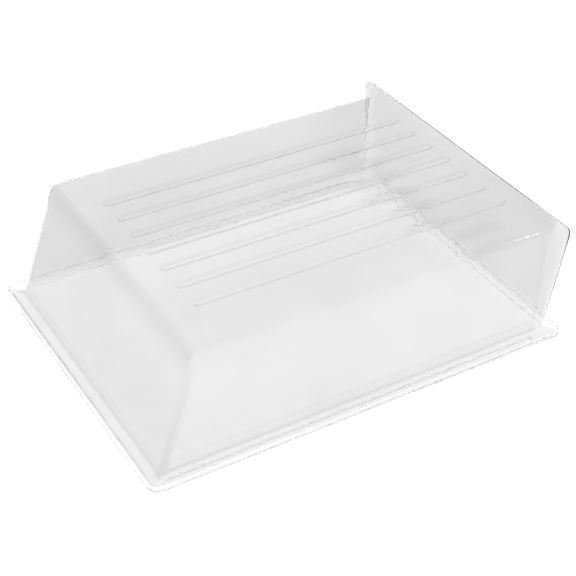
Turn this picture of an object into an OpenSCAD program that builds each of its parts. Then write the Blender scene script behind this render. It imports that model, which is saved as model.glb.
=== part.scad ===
// Clear humidity dome with a ribbed top, standing on a shallow drip tray.
// Frame: +Z up, origin at the centre of the underside of the tray.
// The sloped front end of the dome faces -X and its steep rear end faces +X.

/* [Dome] */
// Length of the dome along X, at the foot of its walls
dome_length = 400; // [320:5:500]
// Width of the dome along Y, at the foot of its walls
dome_width = 287; // [250:1:360]
// Height of the walls above the rim flange
dome_height = 111; // [80:1:160]
// How far the front end leans in at the top
front_lean = 33; // [10:1:60]
// How far the rear end leans in at the top
rear_lean = 2; // [0:0.5:10]
// How far each long side leans in at the top
side_lean = 2; // [0:0.5:10]
// Radius of the upright corners at the foot of the walls
foot_radius = 10; // [8:1:24]
// Radius of the edges and corners around the top
edge_radius = 9; // [8:0.5:12]
// Thickness of the clear plastic
wall = 1.5; // [1.2:0.1:2]

/* [Ribbed top] */
// Number of stiffening grooves pressed into the top
groove_count = 7; // [3:1:8]
// Distance from one groove to the next
groove_pitch = 28; // [20:1:30]
// Width of one groove
groove_width = 13; // [8:0.5:15]
// Depth of one groove
groove_depth = 2; // [2:0.5:4]
// Distance from the front end of the top to the grooves
groove_front_margin = 28; // [15:1:60]
// Distance from the rear end of the top to the grooves
groove_rear_margin = 13; // [12:1:60]

/* [Rear lip] */
// Thickness of the lip that frames the rear end
rear_lip_thickness = 8; // [2:0.5:9]
// Height of the rear lip above the top
rear_lip_height = 7.5; // [4:0.5:12]
// How far the rear lip stands out beside the long sides, near the top
rear_lip_reach = 19.5; // [8:0.5:30]
// How far the rear lip stands out beside the long sides, at its foot
rear_lip_foot_reach = 2.5; // [1:0.5:6]
// Radius of the upper corners of the rear lip
rear_lip_radius = 14; // [6:1:20]

/* [Rim] */
// Width of the flange around the foot of the walls
flange_width = 10.5; // [9:0.5:16]
// Radius of the outer corners of the flange
flange_radius = 8; // [6:0.5:20]
// Width of the raised hem along the outer edge of the flange
hem_width = 2.5; // [2:0.5:3.5]
// Height of the hem above the flange
hem_height = 1.2; // [0.5:0.1:1.5]
// Width of each long side rail
rail_width = 4; // [4:0.5:6]
// Height of each side rail above the flange
rail_height = 3; // [2:0.5:5]
// Distance from the front end of the flange to the side rails
rail_front_gap = 10; // [8:1:40]
// Distance from the rear end of the flange to the side rails
rail_rear_gap = 34; // [8:1:80]

/* [Drip tray] */
// Height of the ledge that the flange rests on
ledge_height = 4; // [3:0.5:12]
// Width of the lip around the flange
lip_width = 1.5; // [1.2:0.1:3]
// Gap all round between the flange and the lip
lip_gap = 0.5; // [0.3:0.1:1]
// Width of the ledge inside the flange's outer edge
ledge_width = 9; // [6:0.5:14]

/* [Hidden] */

clear = [0.86, 0.90, 0.92, 0.45];
clear_edge = [0.74, 0.80, 0.83, 0.6];
tray_clear = [0.80, 0.85, 0.87, 0.5];
round_steps = 96;
hull_steps = 32;
slack = 1;
sliver = 0.01;

// Levels, from the underside of the tray up
flange_top = ledge_height + wall;
roof_top = flange_top + dome_height;
// The top takes the grooves, so the walls stop just below them
groove_clearance = 0.3;
wall_top = roof_top - groove_depth - wall - groove_clearance;

// Sizes in plan
flange_length = dome_length + 2 * flange_width;
flange_breadth = dome_width + 2 * flange_width;
tray_length = flange_length + 2 * (lip_gap + lip_width);
tray_breadth = flange_breadth + 2 * (lip_gap + lip_width);
tray_radius = flange_radius + lip_gap + lip_width;
ledge_cut = lip_gap + lip_width + ledge_width;
ledge_radius = max(2, tray_radius - ledge_cut);

// Ends of the top
roof_front = -dome_length / 2 + front_lean;
roof_rear = dome_length / 2 - rear_lean;
roof_side = dome_width / 2 - side_lean;

// The end walls lie between the two long walls, which carry the corners
corner_margin = 1;
corner_zone = max(foot_radius, edge_radius + side_lean) + corner_margin;
end_wall_side = dome_width / 2 - corner_zone;

groove_front = roof_front + groove_front_margin;
groove_rear = roof_rear - groove_rear_margin;

// How far the rear lip reaches in over the flat part of the rear wall
rear_lip_overlap = 4;
// How far the rear lip stands out past the upper edge of the rear wall
rear_lip_projection = 2;
rear_lip_rear = roof_rear + rear_lip_projection;

// The rails lie on the straight part of the flange, between its round corners
rail_front = -flange_length / 2 + max(rail_front_gap, flange_radius);
rail_rear = flange_length / 2 - max(rail_rear_gap, flange_radius);

// A flat plate with round corners, centred on the origin
module plate(length, breadth, radius, height) {
    linear_extrude(height) {
        square([length - 2 * radius, breadth], center = true);
        square([length, breadth - 2 * radius], center = true);
        for (x = [-1, 1], y = [-1, 1])
            translate([x * (length / 2 - radius), y * (breadth / 2 - radius)])
                circle(radius, $fn = round_steps);
    }
}

// A slot shape along X with round ends
module slot(front, rear, width, height) {
    linear_extrude(height) {
        translate([front + width / 2, -width / 2])
            square([rear - front - width, width]);
        for (x = [front + width / 2, rear - width / 2])
            translate([x, 0])
                circle(width / 2, $fn = round_steps);
    }
}

// The solid shape of the dome, made smaller all round by inset
module dome_form(inset) {
    foot_r = foot_radius - inset;
    top_r = edge_radius - inset;
    foot_x = dome_length / 2 - foot_radius;
    foot_y = dome_width / 2 - foot_radius;
    top_y = roof_side - edge_radius;
    drop = inset > 0 ? slack : 0;
    hull() {
        for (x = [-foot_x, foot_x], y = [-foot_y, foot_y])
            translate([x, y, flange_top - drop])
                cylinder(h = drop + sliver, r = foot_r, $fn = 2 * hull_steps);
        for (x = [roof_front + edge_radius, roof_rear - edge_radius], y = [-top_y, top_y])
            translate([x, y, roof_top - edge_radius])
                sphere(top_r, $fn = hull_steps);
    }
}

module dome_shell() {
    difference() {
        dome_form(0);
        dome_form(wall);
    }
}

// A box between two limits along each axis
module zone(x_low, x_high, y_low, y_high, z_low, z_high) {
    translate([x_low, y_low, z_low])
        cube([x_high - x_low, y_high - y_low, z_high - z_low]);
}

module grooves(width, front, rear, floor_z, height) {
    first = -(groove_count - 1) / 2 * groove_pitch;
    for (i = [0 : groove_count - 1])
        translate([0, first + i * groove_pitch, floor_z])
            slot(front, rear, width, height);
}

module tray_floor() {
    color(tray_clear)
        plate(tray_length, tray_breadth, tray_radius, wall);
}

module tray_rim() {
    color(tray_clear)
        difference() {
            translate([0, 0, wall])
                plate(tray_length, tray_breadth, tray_radius, flange_top - wall);
            translate([0, 0, ledge_height])
                plate(flange_length + 2 * lip_gap, flange_breadth + 2 * lip_gap,
                    flange_radius + lip_gap, wall + slack);
            plate(tray_length - 2 * ledge_cut, tray_breadth - 2 * ledge_cut,
                ledge_radius, flange_top);
        }
}

module dome_rim() {
    color(clear)
        difference() {
            translate([0, 0, ledge_height])
                plate(flange_length, flange_breadth, flange_radius, wall + hem_height);
            translate([0, 0, flange_top])
                plate(flange_length - 2 * hem_width, flange_breadth - 2 * hem_width,
                    flange_radius - hem_width, hem_height + slack);
            plate(dome_length - 2 * wall, dome_width - 2 * wall,
                foot_radius - wall, flange_top + slack);
        }
}

// One rail along the left edge of the flange, stepped to sit over the hem
module rail() {
    over_hem = rail_width - hem_width;
    translate([rail_front, flange_breadth / 2 - rail_width, flange_top])
        rotate([90, 0, 90])
            linear_extrude(rail_rear - rail_front)
                polygon([
                    [0, 0],
                    [over_hem, 0],
                    [over_hem, hem_height],
                    [rail_width, hem_height],
                    [rail_width, rail_height],
                    [0, rail_height]
                ]);
}

module right_rail() {
    color(clear_edge)
        mirror([0, 1, 0])
            rail();
}

module left_rail() {
    color(clear_edge)
        rail();
}

module front_wall() {
    color(clear)
        intersection() {
            dome_shell();
            zone(-dome_length, 0, -end_wall_side, end_wall_side, 0, wall_top);
        }
}

module rear_wall() {
    color(clear)
        intersection() {
            dome_shell();
            zone(0, dome_length, -end_wall_side, end_wall_side, 0, wall_top);
        }
}

module right_wall() {
    color(clear)
        intersection() {
            dome_shell();
            zone(-dome_length, dome_length, -dome_width, -end_wall_side, 0, wall_top);
        }
}

module left_wall() {
    color(clear)
        intersection() {
            dome_shell();
            zone(-dome_length, dome_length, end_wall_side, dome_width, 0, wall_top);
        }
}

module ribbed_top() {
    color(clear)
        difference() {
            union() {
                intersection() {
                    dome_shell();
                    zone(-dome_length, dome_length, -dome_width, dome_width,
                        wall_top, roof_top + slack);
                }
                grooves(groove_width + 2 * wall, groove_front - wall, groove_rear + wall,
                    roof_top - groove_depth - wall, groove_depth + wall / 2);
            }
            grooves(groove_width, groove_front, groove_rear,
                roof_top - groove_depth, groove_depth + slack);
        }
}

// The rear lip seen along X, with height measured from the flange
module rear_lip_outline() {
    side = roof_side + rear_lip_reach - rear_lip_radius;
    foot = dome_width / 2 + rear_lip_foot_reach;
    flat_side = dome_width / 2 - corner_zone - rear_lip_overlap;
    flat_top = dome_height - edge_radius - rear_lip_overlap;
    difference() {
        hull() {
            for (y = [-side, side])
                translate([y, dome_height + rear_lip_height - rear_lip_radius])
                    circle(rear_lip_radius, $fn = round_steps);
            translate([-foot, 0])
                square([2 * foot, slack]);
        }
        translate([-flat_side, -slack])
            square([2 * flat_side, flat_top + slack]);
    }
}

module rear_lip() {
    color(clear_edge)
        difference() {
            translate([rear_lip_rear - rear_lip_thickness, 0, flange_top])
                rotate([90, 0, 90])
                    linear_extrude(rear_lip_thickness)
                        rear_lip_outline();
            dome_form(0);
        }
}

tray_floor();
tray_rim();
dome_rim();
right_rail();
left_rail();
front_wall();
rear_wall();
right_wall();
left_wall();
ribbed_top();
rear_lip();
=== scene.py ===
"""Clear humidity dome on its drip tray: looks, light and camera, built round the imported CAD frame."""

from math import atan, cos, pi, radians, sin, sqrt

import bmesh
import bpy
from mathutils import Matrix, Vector


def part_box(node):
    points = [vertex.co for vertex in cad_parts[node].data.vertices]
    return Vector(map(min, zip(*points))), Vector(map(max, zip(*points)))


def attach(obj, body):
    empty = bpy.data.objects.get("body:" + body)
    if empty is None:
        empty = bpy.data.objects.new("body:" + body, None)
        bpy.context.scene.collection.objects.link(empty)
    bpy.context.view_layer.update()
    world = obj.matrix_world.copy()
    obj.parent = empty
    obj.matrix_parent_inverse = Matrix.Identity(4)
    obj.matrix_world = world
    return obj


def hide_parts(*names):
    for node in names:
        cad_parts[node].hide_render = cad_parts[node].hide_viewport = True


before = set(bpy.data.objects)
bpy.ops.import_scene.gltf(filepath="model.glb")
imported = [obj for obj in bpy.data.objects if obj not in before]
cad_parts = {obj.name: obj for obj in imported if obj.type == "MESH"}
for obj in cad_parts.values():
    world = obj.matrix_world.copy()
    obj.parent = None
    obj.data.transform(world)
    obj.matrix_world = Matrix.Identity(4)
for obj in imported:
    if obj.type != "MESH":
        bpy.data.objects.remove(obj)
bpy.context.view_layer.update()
MM = 0.001

# ---------------------------------------------------------------- sizes, from the CAD boxes
RIM_LOW, RIM_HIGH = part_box("dome_rim")
TOP_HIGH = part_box("ribbed_top")[1]
SIDE_LOW, SIDE_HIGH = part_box("left_wall")
REAR_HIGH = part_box("rear_lip")[1]
RAIL_LOW, RAIL_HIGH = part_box("left_rail")
LIP_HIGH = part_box("tray_rim")[1]
FLOOR_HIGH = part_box("tray_floor")[1]

ROOF_Z = TOP_HIGH[2]
FLANGE_Z = SIDE_LOW[2]
RIM_UNDER_Z = RIM_LOW[2]
HEM_Z = RIM_HIGH[2]
FOOT_X = SIDE_HIGH[0]
FOOT_Y = SIDE_HIGH[1]
RIM_X = RIM_HIGH[0]

# Rounding radii and thickness of the dome
EDGE_R = 9 * MM
REAR_EDGE_R = 4 * MM
SHEET = 1.3 * MM
FOOT_R = 10 * MM
REAR_FOOT_R = 6 * MM
RIM_R = 8 * MM
FLAT_R = 1.5 * MM
FILLET = 3 * MM
REAR_FILLET = 1.5 * MM
HEM_WIDTH = 2.5 * MM

# Steps in each turn over the top edge, down each wall and round each fillet
TURN_STEPS = 9
WALL_STEPS = 8
FILLET_STEPS = 6

# How far each wall leans in from its foot to the height of the top
FRONT_LEAN = 33 * MM
REAR_LEAN = 2 * MM
SIDE_LEAN = 2 * MM

# The dome flares out just before its rear end, into the lip
FLARE_START = 186.5 * MM
FLARE_END = 193.5 * MM
FLARE_SIDE = REAR_HIGH[1] - FOOT_Y + SIDE_LEAN
FLARE_UP = REAR_HIGH[2] - TOP_HIGH[2]

# Painted shade and painted light of the sheet on each side, set per side for how light falls: -1 is painted
# clearest, 0 is plain and 1 is painted darkest
WALL_PAINTED_SHADE = {"front": 0.38, "rear": 0.22, "right": 0.08, "left": 0.22}
# The rim, the foot of the rear and left walls and the flare are painted clearer: painted light
RIM_PAINTED_LIGHT = {"front": -0.16, "rear": -1.0, "right": -0.34, "left": -1.0}
FOOT_PAINTED_LIGHT = {"rear": -1.0, "left": -0.6}
FLARE_PAINTED_LIGHT = -0.2

# Heights above the flange that the rim and the painted lighter foot of the far walls reach
RIM_BAND = 4 * MM
PAINTED_LIGHT_FOOT_HEIGHT = 5 * MM

# Where painted shade patches cross the top
SHADE_PATCH_X = 100 * MM

# The rails along the long sides, and the small dimple in the right one
RAIL_FRONT = RAIL_LOW[0] + 3.5 * MM
RAIL_REAR = RAIL_HIGH[0]
DENT_X = -140 * MM
DENT_DEPTH = 1.3 * MM
DENT_REACH = 2.6 * MM
DENT_SLOPE = 1.8 * MM
DENT_OFFSET = 0.4 * MM
RAIL_END = 0.8 * MM

# Grooves pressed into the top
GROOVES = 7
GROOVE_PITCH = 28 * MM
GROOVE_WIDTH = 13 * MM
GROOVE_DEPTH = 2.0 * MM
GROOVE_SLOPE = 6.0 * MM
GROOVE_FRONT = -FOOT_X + FRONT_LEAN + 28 * MM
GROOVE_REAR = FOOT_X - REAR_LEAN - 13 * MM

# The drip tray: its corners, its lip, and its ledge measured in from its outer edge
TRAY_R = 10 * MM
TRAY_LIP = 1.5 * MM
TRAY_LEDGE = 11 * MM
LEDGE_GAP = 0.03 * MM


# ---------------------------------------------------------------- closed sheets made of grids and loops
def spaced(start, end, count):
    """count steps from start to end, without the start."""
    return [start + (end - start) * (k + 1) / count for k in range(count)]


def fractions(stops):
    """Fractions from 0 to 1 of the run from first to last stop, with a step count for each stretch."""
    first, last = stops[0][0], stops[-1][0]
    values, at = [0.0], first
    for end, count in stops[1:]:
        values += [(v - first) / (last - first) for v in spaced(at, end, count)]
        at = end
    return values


class Layout:
    """Rows and columns shared by every loop of one sheet. Corners are corner_cells square."""

    def __init__(self, along_x, along_y, corner_cells):
        self.fx, self.fy, self.k = along_x, along_y, corner_cells
        self.nx = len(along_x) - 1 + 2 * corner_cells
        self.ny = len(along_y) - 1 + 2 * corner_cells

    def axis(self, index, count, fracs):
        """(corner share from 1 at the border to 0, side -1 or 1, straight fraction) of one row or column."""
        if index < self.k:
            return (self.k - index) / self.k, -1, 0.0
        if index > count - self.k:
            return (index - count + self.k) / self.k, 1, 1.0
        return 0.0, 0, fracs[index - self.k]

    def place(self, i, j, rect):
        """The point of column i and row j on a rectangle (front, rear, half width, front and rear radius)."""
        front, rear, half, r_front, r_rear = rect
        s, side_x, u = self.axis(i, self.nx, self.fx)
        t, side_y, v = self.axis(j, self.ny, self.fy)
        r = r_front + (r_rear - r_front) * u
        x = front + r_front + u * (rear - front - r_front - r_rear)
        y = -half + r + v * (2 * half - 2 * r)
        x += side_x * r * s * sqrt(1 - t * t / 2)
        y += side_y * r * t * sqrt(1 - s * s / 2)
        return x, y

    def border(self):
        """Column and row of each border vertex, counter-clockwise from the front right corner."""
        run = [(i, 0) for i in range(self.nx)]
        run += [(self.nx, j) for j in range(self.ny)]
        run += [(i, self.ny) for i in range(self.nx, 0, -1)]
        run += [(0, j) for j in range(self.ny, 0, -1)]
        return run


def loop_points(layout, loop):
    """One loop: front, rear and side are (distance out, height), and two radii round the corners.
    A loop of the rim has a sixth value, so the height of its long sides follows the rails."""
    (front, z_front), (rear, z_rear), (half, z_side), r_front, r_rear = loop[:5]
    points = []
    for i, j in layout.border():
        x, y = layout.place(i, j, (-front, rear, half, r_front, r_rear))
        end_z, r = (z_front, r_front) if i < layout.nx / 2 else (z_rear, r_rear)
        edge = r - min(front + x, rear - x)
        share = max(0.0, min(1.0, edge / r)) ** 2
        if i in (0, layout.nx) and layout.k <= j <= layout.ny - layout.k:
            share = 1.0
        if len(loop) > 5:
            share = 1 - rail_share(x) * (j in (0, layout.ny))
        points.append(Vector((x, y, end_z * share + z_side * (1 - share))))
    return points


def grid_points(layout, rect, height):
    """Rows and columns over a round-cornered rectangle, at height(x, y)."""
    rows = []
    for j in range(layout.ny + 1):
        row = []
        for i in range(layout.nx + 1):
            x, y = layout.place(i, j, rect)
            row.append(Vector((x, y, height(x, y))))
        rows.append(row)
    return rows


def closed_sheet(name, layout, first, loops, last, painted_light_and_shade=lambda point: 0.0):
    """A closed mesh: a grid, the loops from its border to the border of the other grid, and that grid.
    painted_light_and_shade gives the painted light and shade of each point: -1 is painted clearest, 0 is
    plain and 1 is painted darkest."""
    bm = bmesh.new()
    layer = bm.verts.layers.float.new("painted_light_and_shade")

    def add_vert(point):
        vert = bm.verts.new(point)
        vert[layer] = painted_light_and_shade(point)
        return vert

    def add_grid(rows, flip):
        verts = [[add_vert(p) for p in row] for row in rows]
        for j in range(layout.ny):
            for i in range(layout.nx):
                quad = [verts[j][i], verts[j][i + 1], verts[j + 1][i + 1], verts[j + 1][i]]
                bm.faces.new(quad[::-1] if flip else quad)
        return [verts[j][i] for i, j in layout.border()]

    before = add_grid(first, False)
    rings = [[add_vert(p) for p in points] for points in loops]
    rings.append(add_grid(last, True))
    for after in rings:
        for a in range(len(after)):
            b = (a + 1) % len(after)
            bm.faces.new([before[a], after[a], after[b], before[b]])
        before = after
    bmesh.ops.recalc_face_normals(bm, faces=bm.faces)
    return new_object(name, bm)


def new_object(name, bm):
    """A smooth-shaded object in the scene, made from a bmesh."""
    mesh = bpy.data.meshes.new(name)
    bm.to_mesh(mesh)
    bm.free()
    for polygon in mesh.polygons:
        polygon.use_smooth = True
    piece = bpy.data.objects.new(name, mesh)
    bpy.context.scene.collection.objects.link(piece)
    return piece


# ---------------------------------------------------------------- the dome
def smooth(x):
    """A soft step from 0 to 1 as x goes from 0 to 1."""
    x = max(0.0, min(1.0, x))
    return x * x * (3 - 2 * x)


def groove_lines():
    """Where the middle of each groove lies across the top."""
    return [(k - (GROOVES - 1) / 2) * GROOVE_PITCH for k in range(GROOVES)]


def groove_share(x, y):
    """How deep the grooves are at a point, from 0 to 1."""
    radius = GROOVE_WIDTH / 2
    best = 0.0
    for centre in groove_lines():
        if abs(y - centre) > radius:
            continue
        along = max(GROOVE_FRONT + radius, min(GROOVE_REAR - radius, x))
        away = sqrt((x - along) ** 2 + (y - centre) ** 2)
        best = max(best, smooth((radius - away) / GROOVE_SLOPE))
    return best


def dome_layout():
    """Columns bunch up at the groove ends, and rows at the groove sides."""
    front = -FOOT_X + FRONT_LEAN + EDGE_R + FLAT_R
    rear = FOOT_X - REAR_LEAN - REAR_EDGE_R - FLAT_R
    half = FOOT_Y - SIDE_LEAN - EDGE_R - FLAT_R
    reach = 8 * MM
    columns = fractions([
        (front, 0),
        (front + 5.6 * MM, 7),
        (GROOVE_FRONT - MM, 5),
        (GROOVE_FRONT + reach, 14),
        (DENT_X + 33 * MM, 4),
        (DENT_X + 39 * MM, 8),
        (RAIL_REAR - 7 * MM, 38),
        (RAIL_REAR - 3.5 * MM, 5),
        (GROOVE_REAR - reach, 1),
        (GROOVE_REAR + MM, 14),
        (rear, 7),
    ])
    stops = [(-half, 0)]
    flat = GROOVE_WIDTH / 2 - GROOVE_SLOPE - 0.2 * MM
    brink = GROOVE_WIDTH / 2 + 0.3 * MM
    for k, centre in enumerate(groove_lines()):
        stops.append((centre - brink, 3 if k else 5))
        stops.append((centre - flat, 8))
        stops.append((centre + flat, 3))
        stops.append((centre + brink, 8))
    stops.append((half, 5))
    return Layout(columns, fractions(stops), 4)


def dome_loop(inset, drop_turn=None, height=None):
    """One loop of the dome, inset from its outer face.
    drop_turn is the share of the turn over the top edge, and height a level on the walls."""
    ends = {}
    for end, foot, lean, edge_r in (
        ("front", FOOT_X, FRONT_LEAN, EDGE_R),
        ("rear", FOOT_X, REAR_LEAN, REAR_EDGE_R),
        ("side", FOOT_Y, SIDE_LEAN, EDGE_R),
    ):
        rise = ROOF_Z - FLANGE_Z
        tilt = atan(lean / rise)
        radius = edge_r - inset
        centre = foot - lean - edge_r
        turn = pi / 2 - tilt
        knee = (centre + radius * sin(turn), ROOF_Z - edge_r + radius * cos(turn))
        if drop_turn is not None:
            angle = turn * drop_turn
            ends[end] = (centre + radius * sin(angle), ROOF_Z - edge_r + radius * cos(angle))
        else:
            foot_point = (foot - inset / cos(tilt), FLANGE_Z)
            share = (knee[1] - height) / (knee[1] - foot_point[1])
            ends[end] = (knee[0] + (foot_point[0] - knee[0]) * share, height)
    radii = []
    for edge_r, foot_r in ((EDGE_R, FOOT_R), (REAR_EDGE_R, REAR_FOOT_R)):
        if drop_turn is not None:
            r = FLAT_R + (edge_r - inset) * sin(pi / 2 * drop_turn)
        else:
            share = (ROOF_Z - EDGE_R - height) / (ROOF_Z - EDGE_R - FLANGE_Z)
            top_r = FLAT_R + edge_r - inset
            r = top_r + (foot_r - inset - top_r) * share
        radii.append(r)
    return ends["front"], ends["rear"], ends["side"], radii[0], radii[1]


def bezier(a, b, c, count):
    """count points after a on a quadratic curve to c, pulled towards b."""
    points = []
    for k in range(1, count + 1):
        t = k / count
        points.append(tuple(
            a[n] * (1 - t) ** 2 + 2 * b[n] * t * (1 - t) + c[n] * t * t for n in range(2)
        ))
    return points


def fillet_loops(inset, count):
    """Loops from the wall, down round the inside corner at its foot and out over the flange."""
    start = dome_loop(inset, height=FLANGE_Z + FILLET)
    low = FLANGE_Z if inset == 0 else RIM_UNDER_Z
    loops = []
    for k in range(1, count + 1):
        ends = []
        for index, (foot, fillet) in enumerate((
            (FOOT_X, FILLET), (FOOT_X, REAR_FILLET), (FOOT_Y, FILLET),
        )):
            corner = (foot - inset, low)
            end = (foot + fillet - inset, low)
            ends.append(bezier(start[index], corner, end, count)[k - 1])
        radii = [
            start[3 + n] + (foot_r - inset - start[3 + n]) * k / count
            for n, foot_r in enumerate((FOOT_R, REAR_FOOT_R))
        ]
        loops.append((ends[0], ends[1], ends[2], radii[0], radii[1]))
    return loops


def bead_profile(width, top):
    """The hem or rail along the edge of the flange, and then its underside.
    Each point is (distance out from the foot, height)."""
    flange = RIM_X - FOOT_X
    rise = top - FLANGE_Z
    low = RIM_UNDER_Z
    hollow = rise if width > 3 * MM else 0.0
    steps = [
        (width + 1.1 * MM, FLANGE_Z),
        (width + 0.7 * MM, FLANGE_Z),
        (width + 0.25 * MM, FLANGE_Z + 0.08 * rise),
        (width - 0.1 * MM, FLANGE_Z + 0.3 * rise),
        (width - 0.2 * MM, FLANGE_Z + 0.45 * rise),
        (width - 0.4 * MM, FLANGE_Z + 0.75 * rise),
        (width - 0.6 * MM, FLANGE_Z + 0.9 * rise),
        (width - 1.0 * MM, top),
        (width - 1.3 * MM, top),
        (0.9 * MM, top),
        (0.6 * MM, top - 0.03 * MM),
        (0.25 * MM, top - 0.2 * MM),
        (0.05 * MM, top - 0.5 * MM),
        (0.0, top - 0.8 * MM),
        (0.0, low + 0.7 * MM),
        (0.0, low + 0.4 * MM),
        (0.15 * MM, low + 0.1 * MM),
        (0.5 * MM, low),
        (0.9 * MM, low),
        (1.1 * MM, low + 0.15 * hollow),
        (1.2 * MM, low + 0.4 * hollow),
        (1.25 * MM, low + 0.85 * hollow),
        (1.45 * MM, low + hollow),
        (max(1.6 * MM, width - 1.7 * MM), low + hollow),
        (max(1.7 * MM, width - 1.3 * MM), low + 0.95 * hollow),
        (width - 0.9 * MM, low + 0.8 * hollow),
        (width - 0.6 * MM, low + 0.35 * hollow),
        (width - 0.2 * MM, low + 0.08 * hollow),
        (width + 0.3 * MM, low),
        (width + 0.7 * MM, low),
    ]
    return [(flange - back, z) for back, z in steps]


def rail_share(x):
    """1 along the side rails, 0 past their ends."""
    start = RAIL_FRONT - RAIL_END / 2
    end = RAIL_REAR + RAIL_END / 2
    return smooth((x - start) / RAIL_END) * smooth((end - x) / RAIL_END)


def rim_loop(end, side):
    """One loop of the rim. The ends of the dome carry the hem, and its long sides the rails."""
    share = max(0.0, min(1.0, end[0] / (RIM_X - FOOT_X)))
    radii = [foot_r + (RIM_R - foot_r) * share for foot_r in (FOOT_R, REAR_FOOT_R)]
    out = (FOOT_X + end[0], end[1])
    return out, out, (FOOT_Y + side[0], side[1]), radii[0], radii[1], end[1]


def dome_outline():
    """Every loop of the dome from the border of its top, outside, to the border of its underside."""
    turns = [k / TURN_STEPS for k in range(1, TURN_STEPS + 1)]
    foot = FLANGE_Z + FILLET
    levels = spaced(ROOF_Z - EDGE_R - 4 * MM, foot + 0.5 * MM, WALL_STEPS) + [foot]
    loops = [dome_loop(0, drop_turn=t) for t in turns]
    loops += [dome_loop(0, height=z) for z in levels]
    loops += fillet_loops(0, FILLET_STEPS)
    hem = bead_profile(HEM_WIDTH, HEM_Z)
    rail = bead_profile(RAIL_HIGH[1] - RAIL_LOW[1], RAIL_HIGH[2])
    loops += [rim_loop(end, side) for end, side in zip(hem, rail)]
    loops += fillet_loops(SHEET, FILLET_STEPS)[::-1]
    loops += [dome_loop(SHEET, height=z) for z in levels[::-1]]
    loops += [dome_loop(SHEET, drop_turn=t) for t in turns[::-1]]
    return loops


def dent(point):
    """Presses a small round dimple into the inner edge of the right rail."""
    away = sqrt((point.x - DENT_X) ** 2 + (point.y + RAIL_LOW[1] + DENT_OFFSET) ** 2)
    if point.z < ROOF_Z / 2:
        point.z -= DENT_DEPTH * smooth((DENT_REACH - away) / DENT_SLOPE) * (point.z > FLANGE_Z)
    return point


def flare(point):
    """Moves a point of the dome out into the lip at its rear end."""
    height = (point.z - FLANGE_Z) / (ROOF_Z - FLANGE_Z)
    amount = smooth((point.x - FLARE_START) / (FLARE_END - FLARE_START)) * max(0.0, min(1.0, height))
    point.y *= 1 + amount * FLARE_SIDE / (FOOT_Y - SIDE_LEAN)
    point.z += amount * FLARE_UP
    return point


def bump_share(distance, width):
    """1 at no distance, falling evenly to 0 at the width."""
    return max(0.0, 1 - abs(distance) / width)


def painted_shade_patches(x, y):
    """Painted shade patches across the top, drawn out along the grooves near the rear end."""
    tooth = 0.5 + 0.5 * cos(2 * pi * y / GROOVE_PITCH)
    reach = (20 + 30 * tooth) * MM
    centre = SHADE_PATCH_X + 6 * MM * sin(y / (11 * MM)) + 28 * MM * smooth((-y - 75 * MM) / (25 * MM))
    band = smooth(1.5 * bump_share(x - centre, reach))
    return 0.75 * band * (0.55 + 0.45 * tooth) * smooth((80 * MM - y) / (30 * MM))


def groove_painted_shade(x, y):
    """Painted shade on the drawn-down sides of the grooves, the right side darker than the left."""
    side_shade = groove_share(x, y)
    side_shade = 4 * side_shade * (1 - side_shade)
    centre = min(groove_lines(), key=lambda line: abs(y - line))
    return side_shade * (1.0 if y < centre else 0.45)


def roof_painted_shade(x, y):
    """Painted shade on the top: darker towards its right side and its rear end."""
    right_shade = 0.30 * smooth((-y - 10 * MM) / (80 * MM))
    rear_shade = 0.10 * smooth((x - 0.4 * FOOT_X) / (0.3 * FOOT_X))
    return max(right_shade + rear_shade, groove_painted_shade(x, y), painted_shade_patches(x, y))


def wall_painted_shade(point, gaps, side):
    """Painted shade on a wall, set per side, with painted dark bands round the top, at the foot and up the
    front corners.
    """
    x, y, z = point
    turn = smooth((z - ROOF_Z + EDGE_R) / EDGE_R)
    plain = WALL_PAINTED_SHADE[side] * (1 - turn) + roof_painted_shade(x, y) * turn
    front_side = smooth((-x - 0.30 * FOOT_X) / (0.4 * FOOT_X))
    # Painted dark bands: under the top edge, strongest at the front; at the foot of the front and right
    # walls; up the front corners
    top = bump_share(ROOF_Z - EDGE_R - z, 1.6 * EDGE_R) * (z < ROOF_Z - 0.5 * MM)
    top *= 0.15 + 0.85 * front_side * (abs(y) < FOOT_Y - 8 * MM)
    foot = 0.9 * bump_share(FLANGE_Z + FILLET / 3 - z, FILLET) * (side in ("front", "right"))
    corner = 10 * MM
    upright_shade = bump_share(max(gaps["front"], 0), corner) * bump_share(min(gaps["left"], gaps["right"]), corner)
    upright_shade *= z < ROOF_Z - EDGE_R
    return min(1.0, max(plain, top, foot, 1.8 * upright_shade))


def dome_painted_light_and_shade(point):
    """Painted light and shade of the sheet: -1 where it is painted clearest, 0 on a plain wall and 1 where it
    is painted darkest.
    """
    x, y, z = point
    lean = FRONT_LEAN * (z - FLANGE_Z) / (ROOF_Z - FLANGE_Z)
    gaps = {"front": x + FOOT_X - lean, "rear": FOOT_X - x, "right": FOOT_Y + y, "left": FOOT_Y - y}
    side = min(gaps, key=gaps.get)
    if z < FLANGE_Z + RIM_BAND and gaps[side] < -1.2 * MM:
        return RIM_PAINTED_LIGHT[side]
    if z < FLANGE_Z + PAINTED_LIGHT_FOOT_HEIGHT and side in FOOT_PAINTED_LIGHT:
        return FOOT_PAINTED_LIGHT[side]
    if x > FLARE_START + MM and abs(y) > FOOT_Y - SIDE_LEAN + MM:
        return FLARE_PAINTED_LIGHT
    if z > ROOF_Z - SHEET - GROOVE_DEPTH - 0.2 * MM and min(gaps.values()) > EDGE_R:
        return roof_painted_shade(x, y)
    return wall_painted_shade(point, gaps, side)


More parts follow.
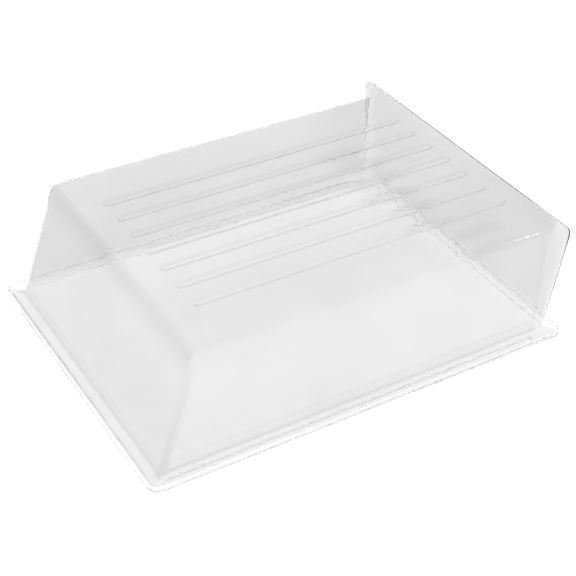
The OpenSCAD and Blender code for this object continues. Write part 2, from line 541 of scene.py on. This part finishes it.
def make_dome():
    """The dome as one formed sheet: top, walls and rim outside, then the same way back inside."""
    layout = dome_layout()
    outer, inner = dome_loop(0, drop_turn=0), dome_loop(SHEET, drop_turn=0)

    def rect(loop):
        return -loop[0][0], loop[1][0], loop[2][0], loop[3], loop[4]

    first = grid_points(
        layout, rect(outer), lambda x, y: ROOF_Z - GROOVE_DEPTH * groove_share(x, y)
    )
    last = grid_points(
        layout, rect(inner), lambda x, y: ROOF_Z - SHEET - GROOVE_DEPTH * groove_share(x, y)
    )
    loops = [loop_points(layout, loop) for loop in dome_outline()]
    for points in first + loops + last:
        for point in points:
            dent(flare(point))
    return closed_sheet("clear_dome", layout, first, loops, last, dome_painted_light_and_shade)


# ---------------------------------------------------------------- the drip tray
def make_tray():
    """The tray as one moulding: floor, ledge and lip."""
    ledge_z = RIM_UNDER_Z - LEDGE_GAP
    lip_in, ledge_in = TRAY_LIP, TRAY_LEDGE
    outer_x, outer_y = LIP_HIGH[0], LIP_HIGH[1]
    rows = [
        (ledge_in + 1.4 * MM, FLOOR_HIGH[2]),
        (ledge_in + 0.6 * MM, FLOOR_HIGH[2] + 0.2 * MM),
        (ledge_in + 0.3 * MM, FLOOR_HIGH[2] + 0.8 * MM),
        (ledge_in, ledge_z - 0.5 * MM),
        (ledge_in - 0.4 * MM, ledge_z - 0.1 * MM),
        (ledge_in - 1.0 * MM, ledge_z),
        (lip_in + 0.5 * MM, ledge_z),
        (lip_in, ledge_z + 0.3 * MM),
        (lip_in, LIP_HIGH[2] - 0.4 * MM),
        (lip_in - 0.3 * MM, LIP_HIGH[2] - 0.05 * MM),
        (lip_in - 0.7 * MM, LIP_HIGH[2]),
        (0.3 * MM, LIP_HIGH[2] - 0.1 * MM),
        (0, LIP_HIGH[2] - 0.5 * MM),
        (0, 0.6 * MM),
        (0.2 * MM, 0.15 * MM),
        (0.7 * MM, 0),
    ]
    layout = Layout(fractions([(0, 0), (1, 32)]), fractions([(0, 0), (1, 24)]), 5)

    def loop(inset, z):
        r = max(2 * MM, TRAY_R - inset)
        return (outer_x - inset, z), (outer_x - inset, z), (outer_y - inset, z), r, r

    loops = [loop_points(layout, loop(inset, z)) for inset, z in rows]
    inset = ledge_in + 3 * MM
    rect = (-outer_x + inset, outer_x - inset, outer_y - inset, 2 * MM, 2 * MM)
    under = 3 * MM
    rect_under = (-outer_x + under, outer_x - under, outer_y - under, TRAY_R - under, TRAY_R - under)
    first = grid_points(layout, rect, lambda x, y: FLOOR_HIGH[2])
    last = grid_points(layout, rect_under, lambda x, y: 0.0)
    return closed_sheet("drip_tray", layout, first, loops, last)


# ---------------------------------------------------------------- materials
# Noise scales, per metre of the object
CLOUD_SCALE = 9.0
RIPPLE_SCALE = 22.0
SCUFF_SCALE = 160.0
GRAIN_SCALE = 420.0

# Bump strengths, and their heights in metres
RIPPLE_STRENGTH, RIPPLE_HEIGHT = 0.35, 0.0016
GRAIN_STRENGTH, GRAIN_HEIGHT = 0.12, 0.0002

# The refraction of bends and the rim, and the clear coat that gives the highlights
BEND_IOR = 1.08
COAT = 0.4
COAT_ROUGHNESS = 0.04
FLOOR_GREY = 0.16
FLOOR_GLOW = 0.95


def grey(value):
    """A neutral colour with its alpha."""
    return value, value, value, 1


def node_tree(name):
    """A new material, with its nodes and links."""
    material = bpy.data.materials.new(name)
    material.use_nodes = True
    return material, material.node_tree.nodes, material.node_tree.links


def noise(nodes, links, scale, detail=3.0, stretch=None):
    """A noise texture on the object's own coordinates, in metres."""
    coordinates = nodes.new("ShaderNodeTexCoord")
    texture = nodes.new("ShaderNodeTexNoise")
    texture.inputs["Scale"].default_value = scale
    texture.inputs["Detail"].default_value = detail
    source = coordinates.outputs["Object"]
    if stretch:
        mapping = nodes.new("ShaderNodeMapping")
        mapping.inputs["Scale"].default_value = stretch
        links.new(source, mapping.inputs["Vector"])
        source = mapping.outputs["Vector"]
    links.new(source, texture.inputs["Vector"])
    return texture.outputs["Fac"]


def between(nodes, links, value, low, high, start=0.3, end=0.7):
    """Maps a value from start..end to low..high."""
    node = nodes.new("ShaderNodeMapRange")
    node.inputs["From Min"].default_value = start
    node.inputs["From Max"].default_value = end
    node.inputs["To Min"].default_value = low
    node.inputs["To Max"].default_value = high
    links.new(value, node.inputs["Value"])
    return node.outputs["Result"]


def mix_colour(nodes, links, factor, first, second):
    """Mixes two colours, where either may be a colour or an output of another node."""
    node = nodes.new("ShaderNodeMix")
    node.data_type = "RGBA"
    for index, colour in ((6, first), (7, second)):
        if isinstance(colour, tuple):
            node.inputs[index].default_value = colour
        else:
            links.new(colour, node.inputs[index])
    links.new(factor, node.inputs["Factor"])
    return node.outputs[2]


def math_node(nodes, links, operation, first, second):
    """One calculation on an output and either another output or a number."""
    node = nodes.new("ShaderNodeMath")
    node.operation = operation
    links.new(first, node.inputs[0])
    if isinstance(second, float):
        node.inputs[1].default_value = second
    else:
        links.new(second, node.inputs[1])
    return node.outputs[0]


def bump(nodes, links, height, strength, distance, under=None):
    """A bump of its own height, laid over another one if there is one."""
    node = nodes.new("ShaderNodeBump")
    node.inputs["Strength"].default_value = strength
    node.inputs["Distance"].default_value = distance
    links.new(height, node.inputs["Height"])
    if under:
        links.new(under, node.inputs["Normal"])
    return node.outputs["Normal"]


def clouds_and_painted_shade(nodes, links, painted_light_and_shade, dense, thin, painted_shade_grey, flange):
    """Faint clouds on plain walls, painted shade in bends and seen edge on, and painted lighter at the rim.
    """
    cloud = between(nodes, links, noise(nodes, links, CLOUD_SCALE), 0.0, 1.0)
    plain = mix_colour(nodes, links, cloud, grey(dense), grey(thin))
    # Painted shade seen edge on: darker as the surface turns away from the view
    facing = nodes.new("ShaderNodeLayerWeight")
    facing.inputs["Blend"].default_value = 0.5
    edge_on_shade = between(nodes, links, facing.outputs["Facing"], 0.0, 0.9, 0.65, 1.0)
    deepest = math_node(nodes, links, "MAXIMUM", painted_light_and_shade, edge_on_shade)
    deeper = mix_colour(nodes, links, deepest, plain, grey(painted_shade_grey))
    wall = between(nodes, links, painted_light_and_shade, 0.0, 1.0, -1.0, 0.0)
    return mix_colour(nodes, links, wall, grey(flange), deeper)


def formed_ior(nodes, links, painted_light_and_shade, ior):
    """Bends and the rim refract less than the walls, so that they draw soft lines."""
    clearer = math_node(nodes, links, "MULTIPLY", painted_light_and_shade, -2.5)
    formed = math_node(nodes, links, "MAXIMUM", painted_light_and_shade, clearer)
    return between(nodes, links, formed, ior, BEND_IOR, 0.25, 0.75)


def clear_plastic(name, dense, thin, painted_shade_grey, flange, ior, rough_low, rough_high):
    """Clear formed plastic: a faint tint that varies, with painted light and shade, soft ripples and fine
    scuffs.
    """
    material, nodes, links = node_tree(name)
    shader = nodes["Principled BSDF"]
    shader.inputs["Transmission Weight"].default_value = 1.0
    shader.inputs["Coat Weight"].default_value = COAT
    shader.inputs["Coat Roughness"].default_value = COAT_ROUGHNESS

    # The painted light and shade stored on the mesh drives the tint and the IOR
    attribute = nodes.new("ShaderNodeAttribute")
    attribute.attribute_name = "painted_light_and_shade"
    painted_light_and_shade = attribute.outputs["Fac"]
    tint = clouds_and_painted_shade(nodes, links, painted_light_and_shade, dense, thin, painted_shade_grey, flange)
    links.new(tint, shader.inputs["Base Color"])
    links.new(formed_ior(nodes, links, painted_light_and_shade, ior), shader.inputs["IOR"])

    scuff = noise(nodes, links, SCUFF_SCALE, 6.0, (1.0, 0.35, 1.0))
    rough = between(nodes, links, scuff, rough_low, rough_high, 0.45, 0.75)
    links.new(rough, shader.inputs["Roughness"])

    ripple = noise(nodes, links, RIPPLE_SCALE, 1.5, (0.6, 1.0, 1.0))
    soft = bump(nodes, links, ripple, RIPPLE_STRENGTH, RIPPLE_HEIGHT)
    grain = noise(nodes, links, GRAIN_SCALE, 2.0)
    surface = bump(nodes, links, grain, GRAIN_STRENGTH, GRAIN_HEIGHT, soft)
    links.new(surface, shader.inputs["Normal"])
    return material


def pale_floor():
    """A matt floor that glows, because lamp light doesn't reach it through the plastic."""
    material, nodes, _ = node_tree("studio_floor")
    shader = nodes["Principled BSDF"]
    shader.inputs["Base Color"].default_value = grey(FLOOR_GREY)
    shader.inputs["Roughness"].default_value = 0.9
    shader.inputs["Specular IOR Level"].default_value = 0.0
    shader.inputs["Emission Color"].default_value = grey(1.0)
    shader.inputs["Emission Strength"].default_value = FLOOR_GLOW
    return material


# ---------------------------------------------------------------- stage, light and camera
FLOOR_REACH = 12.0
FLOOR_Z = -0.3 * MM
LAMP_AIM = (0, 0, 0.05)
LAMP_SIZE = (0.1, 0.1)
LOW_SKY = (0.80, 0.80, 0.81, 1)
HIGH_SKY = (1.0, 1.0, 1.0, 1)


def make_stage():
    """The floor under the tray."""
    bm = bmesh.new()
    reach = FLOOR_REACH
    corners = [(-reach, -reach), (reach, -reach), (reach, reach), (-reach, reach)]
    bm.faces.new([bm.verts.new((x, y, FLOOR_Z)) for x, y in corners])
    floor = new_object("studio_floor", bm)
    floor.data.materials.append(pale_floor())


def area_light(name, place, power):
    """A small lamp aimed at the middle of the object."""
    data = bpy.data.lights.new(name, "AREA")
    data.shape = "RECTANGLE"
    data.size, data.size_y = LAMP_SIZE
    data.energy = power
    lamp = bpy.data.objects.new(name, data)
    lamp.location = place
    lamp.rotation_euler = (Vector(LAMP_AIM) - Vector(place)).to_track_quat("-Z", "Y").to_euler()
    bpy.context.scene.collection.objects.link(lamp)


def make_light():
    """A sky that is greyer low down than overhead, and two small lamps."""
    world = bpy.data.worlds.new("studio")
    bpy.context.scene.world = world
    world.use_nodes = True
    nodes, links = world.node_tree.nodes, world.node_tree.links
    background = nodes["Background"]
    background.inputs["Strength"].default_value = 1.0
    coordinates = nodes.new("ShaderNodeTexCoord")
    split = nodes.new("ShaderNodeSeparateXYZ")
    ramp = nodes.new("ShaderNodeValToRGB")
    ramp.color_ramp.elements[0].position = 0.0
    ramp.color_ramp.elements[0].color = LOW_SKY
    ramp.color_ramp.elements[1].position = 0.9
    ramp.color_ramp.elements[1].color = HIGH_SKY
    links.new(coordinates.outputs["Generated"], split.inputs[0])
    links.new(split.outputs["Z"], ramp.inputs["Fac"])
    links.new(ramp.outputs["Color"], background.inputs["Color"])
    area_light("key", (-0.9, 0.9, 1.7), 1.2)
    area_light("fill", (1.4, -1.2, 1.5), 1.0)


# The camera's heading, pitch and roll in degrees, its distance and aim in metres, and its lens in mm
VIEW_HEADING = 57.6
VIEW_PITCH = 36.5
VIEW_ROLL = 2.0
VIEW_DISTANCE = 1.25
VIEW_AIM = Vector((0.0072, -0.0002, 0.0258))
LENS = 83.8


def make_camera():
    """The camera looks along a heading from +X, down by the pitch, and is rolled a little."""
    heading, pitch = radians(VIEW_HEADING), radians(VIEW_PITCH)
    forward = Vector((cos(heading) * cos(pitch), sin(heading) * cos(pitch), -sin(pitch)))
    data = bpy.data.cameras.new("camera")
    data.lens = LENS
    data.sensor_width = 36.0
    camera = bpy.data.objects.new("camera", data)
    turn = forward.to_track_quat("-Z", "Y").to_matrix().to_4x4()
    roll = Matrix.Rotation(radians(VIEW_ROLL), 4, "Z")
    camera.matrix_world = Matrix.Translation(VIEW_AIM - forward * VIEW_DISTANCE) @ turn @ roll
    bpy.context.scene.collection.objects.link(camera)
    bpy.context.scene.camera = camera


def finish_piece(piece, body, slot, material, *nodes):
    """Gives a piece its material and says what it rides on and which CAD nodes it replaces."""
    piece.data.materials.append(material)
    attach(piece, body)
    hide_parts(*nodes)


make_camera()
make_light()
make_stage()

# In each plastic the darkest grey is painted shade and the flange grey is painted light at the rim
dome_plastic = clear_plastic(
    "clear_dome_plastic", dense=0.82, thin=0.87, painted_shade_grey=0.70, flange=0.995,
    ior=1.14, rough_low=0.02, rough_high=0.08,
)
tray_plastic = clear_plastic(
    "clear_tray_plastic", dense=0.98, thin=0.995, painted_shade_grey=0.95, flange=0.995,
    ior=1.2, rough_low=0.03, rough_high=0.10,
)
finish_piece(
    make_dome(), "dome", "clear_dome", dome_plastic,
    "dome_rim", "front_wall", "rear_wall", "right_wall", "left_wall", "ribbed_top", "rear_lip",
    "left_rail", "right_rail",
)
finish_piece(make_tray(), "tray", "clear_tray", tray_plastic, "tray_floor", "tray_rim")

scene = bpy.context.scene
scene.view_settings.view_transform = "Standard"
scene.cycles.max_bounces = 24
scene.cycles.transmission_bounces = 20
scene.cycles.glossy_bounces = 20
scene.cycles.transparent_max_bounces = 20
